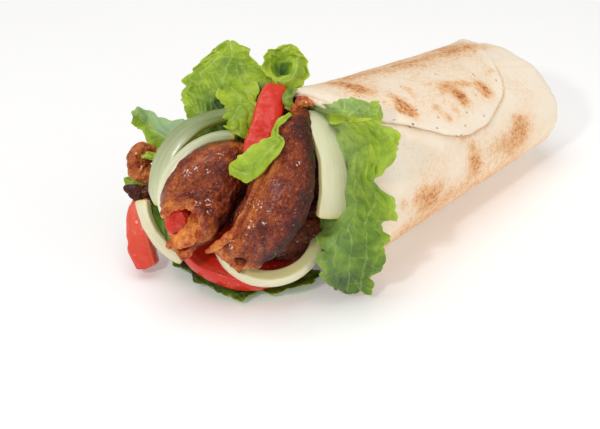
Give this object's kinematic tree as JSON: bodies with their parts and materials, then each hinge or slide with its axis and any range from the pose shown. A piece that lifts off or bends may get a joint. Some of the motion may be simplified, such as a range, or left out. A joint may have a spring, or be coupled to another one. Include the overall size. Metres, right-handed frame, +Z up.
{
  "type": "doner kebab sandwich",
  "caption": "Rolled flatbread wrap lying on its side, its open end spilling shaved meat, tomato, onion and frilly lettuce.",
  "frame": {"origin": "middle of the bounding box's underside, on the surface the wrap lies on", "axes": "+X along the roll toward its tucked end, +Y toward the far side, +Z up; the filling spills out toward -X"},
  "size_m": [0.1934, 0.1134, 0.0744],
  "materials": {
    "bread": "dry floury flatbread, pale cream with toasted spots",
    "meat": "browned shaved meat, glossy with fat",
    "tomato": "wet ripe tomato",
    "onion": "translucent raw onion",
    "lettuce": "fresh frilly leaf, waxy"
  },
  "bodies": {
    "root": {"flatbread": "bread", "meat_core": "meat", "meat_right": "meat", "meat_left": "meat", "meat_lower": "meat", "meat_curl": "meat", "meat_flake": "meat", "meat_bit_top": "meat", "tomato_slice": "tomato", "tomato_top": "tomato", "tomato_left": "tomato", "tomato_inside": "tomato", "onion_right": "onion", "onion_bottom": "onion", "onion_left_outer": "onion", "onion_left_inner": "onion", "onion_left_low": "onion", "lettuce_back": "lettuce", "lettuce_curl": "lettuce", "lettuce_far": "lettuce", "lettuce_shoulder": "lettuce", "lettuce_right": "lettuce", "lettuce_shred": "lettuce", "lettuce_under": "lettuce", "lettuce_low_left": "lettuce", "lettuce_bit_left": "lettuce", "lettuce_bit_top": "lettuce"}
  },
  "joints": []
}
